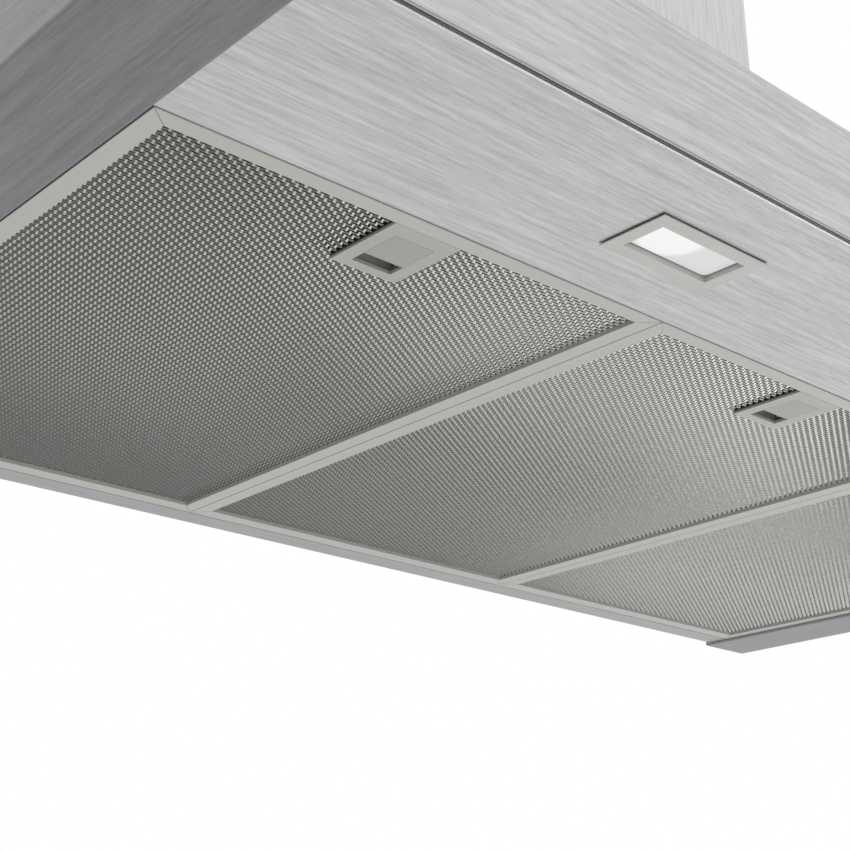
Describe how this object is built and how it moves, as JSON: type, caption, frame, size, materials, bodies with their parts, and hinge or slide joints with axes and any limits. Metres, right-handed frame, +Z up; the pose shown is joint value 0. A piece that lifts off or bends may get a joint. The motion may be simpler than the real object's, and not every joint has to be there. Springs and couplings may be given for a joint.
{
  "type": "range hood",
  "caption": "Flat box canopy hood for a wall: hinged mesh grease filters with sliding latches, lit front strip, push-buttons, blower with duct collar, telescopic flue.",
  "frame": {"origin": "centre of the four wall screws, on the wall plane", "axes": "+X to the right along the wall, +Y into the wall, +Z up"},
  "size_m": [0.898, 0.5, 0.628],
  "materials": {
    "brushed_steel": "brushed stainless steel",
    "side_steel": "brushed stainless steel, grain along the depth",
    "galvanised_steel": "galvanised steel sheet",
    "screw_steel": "zinc-plated steel",
    "shaft_steel": "ground steel",
    "filter_aluminium": "satin rolled aluminium",
    "mesh_aluminium": "expanded aluminium sheet",
    "motor_casting": "cast end bells and laminations",
    "latch_plastic": "grey satin moulding",
    "lamp_plastic": "grey satin moulding",
    "lens_plastic": "frosted light diffuser, lit",
    "black_plastic": "black moulding",
    "fan_plastic": "dark grey moulding",
    "button_metal": "satin metal caps",
    "circuit_board": "green circuit board",
    "lamp_board": "white circuit board",
    "box_plastic": "light grey moulding"
  },
  "bodies": {
    "canopy": {"canopy_top": "brushed_steel", "side_panel_left": "side_steel", "side_panel_right": "side_steel", "back_rail": "brushed_steel", "front_strip": "brushed_steel", "front_panel": "brushed_steel", "corner_rivets": "screw_steel", "wall_plate": "galvanised_steel", "suction_box": "galvanised_steel", "box_screws": "screw_steel", "scroll_left": "black_plastic", "scroll_right": "black_plastic", "motor": "motor_casting", "motor_bracket": "galvanised_steel", "electronics_box": "box_plastic", "cable_gland": "black_plastic", "duct_collar": "black_plastic", "flap_pin": "shaft_steel", "lower_flue": "brushed_steel", "button_insert": "black_plastic", "control_board": "circuit_board", "lamp_driver": "black_plastic", "lamp_bezel_left": "lamp_plastic", "lamp_lens_left": "lens_plastic", "lamp_board_left": "lamp_board", "lamp_bezel_right": "lamp_plastic", "lamp_lens_right": "lens_plastic", "lamp_board_right": "lamp_board"},
    "filter_left": {"filter_frame_left": "filter_aluminium", "filter_mesh_left": "mesh_aluminium", "filter_pack_left": "mesh_aluminium", "latch_housing_left": "latch_plastic", "latch_spring_left": "shaft_steel"},
    "latch_left": {"latch_knob_left": "latch_plastic"},
    "filter_centre": {"filter_frame_centre": "filter_aluminium", "filter_mesh_centre": "mesh_aluminium", "filter_pack_centre": "mesh_aluminium", "latch_housing_centre": "latch_plastic", "latch_spring_centre": "shaft_steel"},
    "latch_centre": {"latch_knob_centre": "latch_plastic"},
    "filter_right": {"filter_frame_right": "filter_aluminium", "filter_mesh_right": "mesh_aluminium", "filter_pack_right": "mesh_aluminium", "latch_housing_right": "latch_plastic", "latch_spring_right": "shaft_steel"},
    "latch_right": {"latch_knob_right": "latch_plastic"},
    "rotor": {"impeller": "fan_plastic", "motor_shaft": "shaft_steel"},
    "flap_left_body": {"flap_left": "fan_plastic"},
    "flap_right_body": {"flap_right": "fan_plastic"},
    "flue_slide": {"upper_flue": "brushed_steel", "ceiling_bracket": "galvanised_steel", "flue_screws": "screw_steel"},
    "button_1_body": {"button_1": "button_metal"},
    "button_2_body": {"button_2": "button_metal"},
    "button_3_body": {"button_3": "button_metal"},
    "button_4_body": {"button_4": "button_metal"},
    "button_5_body": {"button_5": "button_metal"}
  },
  "joints": [
    {"name": "filter_left_swing", "type": "hinge", "parent": "canopy", "child": "filter_left", "pos_m": [0, -0.0213, -0.1723], "axis": [1, 0, 0], "range_deg": [0, 75]},
    {"name": "filter_centre_swing", "type": "hinge", "parent": "canopy", "child": "filter_centre", "pos_m": [0, -0.0213, -0.1723], "axis": [1, 0, 0], "range_deg": [0, 75]},
    {"name": "filter_right_swing", "type": "hinge", "parent": "canopy", "child": "filter_right", "pos_m": [0, -0.0213, -0.1723], "axis": [1, 0, 0], "range_deg": [0, 75]},
    {"name": "latch_left_slide", "type": "slide", "parent": "filter_left", "child": "latch_left", "axis": [0, 1, 0], "range_m": [0, 0.006], "stiffness_N_per_m": 250, "springref_m": -0.004, "deforming": ["latch_spring_left"]},
    {"name": "latch_centre_slide", "type": "slide", "parent": "filter_centre", "child": "latch_centre", "axis": [0, 1, 0], "range_m": [0, 0.006], "stiffness_N_per_m": 250, "springref_m": -0.004, "deforming": ["latch_spring_centre"]},
    {"name": "latch_right_slide", "type": "slide", "parent": "filter_right", "child": "latch_right", "axis": [0, 1, 0], "range_m": [0, 0.006], "stiffness_N_per_m": 250, "springref_m": -0.004, "deforming": ["latch_spring_right"]},
    {"name": "rotor_spin", "type": "hinge", "parent": "canopy", "child": "rotor", "pos_m": [0, -0.1155, -0.01], "axis": [1, 0, 0], "continuous": true},
    {"name": "flap_left_lift", "type": "hinge", "parent": "canopy", "child": "flap_left_body", "pos_m": [0, -0.1155, 0.141], "axis": [0, 1, 0], "range_deg": [0, 75]},
    {"name": "flap_right_lift", "type": "hinge", "parent": "canopy", "child": "flap_right_body", "pos_m": [0, -0.1155, 0.141], "axis": [0, -1, 0], "range_deg": [0, 75]},
    {"name": "flue_extend", "type": "slide", "parent": "canopy", "child": "flue_slide", "axis": [0, 0, 1], "range_m": [0, 0.326]},
    {"name": "button_1_press", "type": "slide", "parent": "canopy", "child": "button_1_body", "axis": [0, 1, 0], "range_m": [0, 0.0015], "stiffness_N_per_m": 900, "springref_m": -0.001},
    {"name": "button_2_press", "type": "slide", "parent": "canopy", "child": "button_2_body", "axis": [0, 1, 0], "range_m": [0, 0.0015], "stiffness_N_per_m": 900, "springref_m": -0.001},
    {"name": "button_3_press", "type": "slide", "parent": "canopy", "child": "button_3_body", "axis": [0, 1, 0], "range_m": [0, 0.0015], "stiffness_N_per_m": 900, "springref_m": -0.001},
    {"name": "button_4_press", "type": "slide", "parent": "canopy", "child": "button_4_body", "axis": [0, 1, 0], "range_m": [0, 0.0015], "stiffness_N_per_m": 900, "springref_m": -0.001},
    {"name": "button_5_press", "type": "slide", "parent": "canopy", "child": "button_5_body", "axis": [0, 1, 0], "range_m": [0, 0.0015], "stiffness_N_per_m": 900, "springref_m": -0.001}
  ]
}
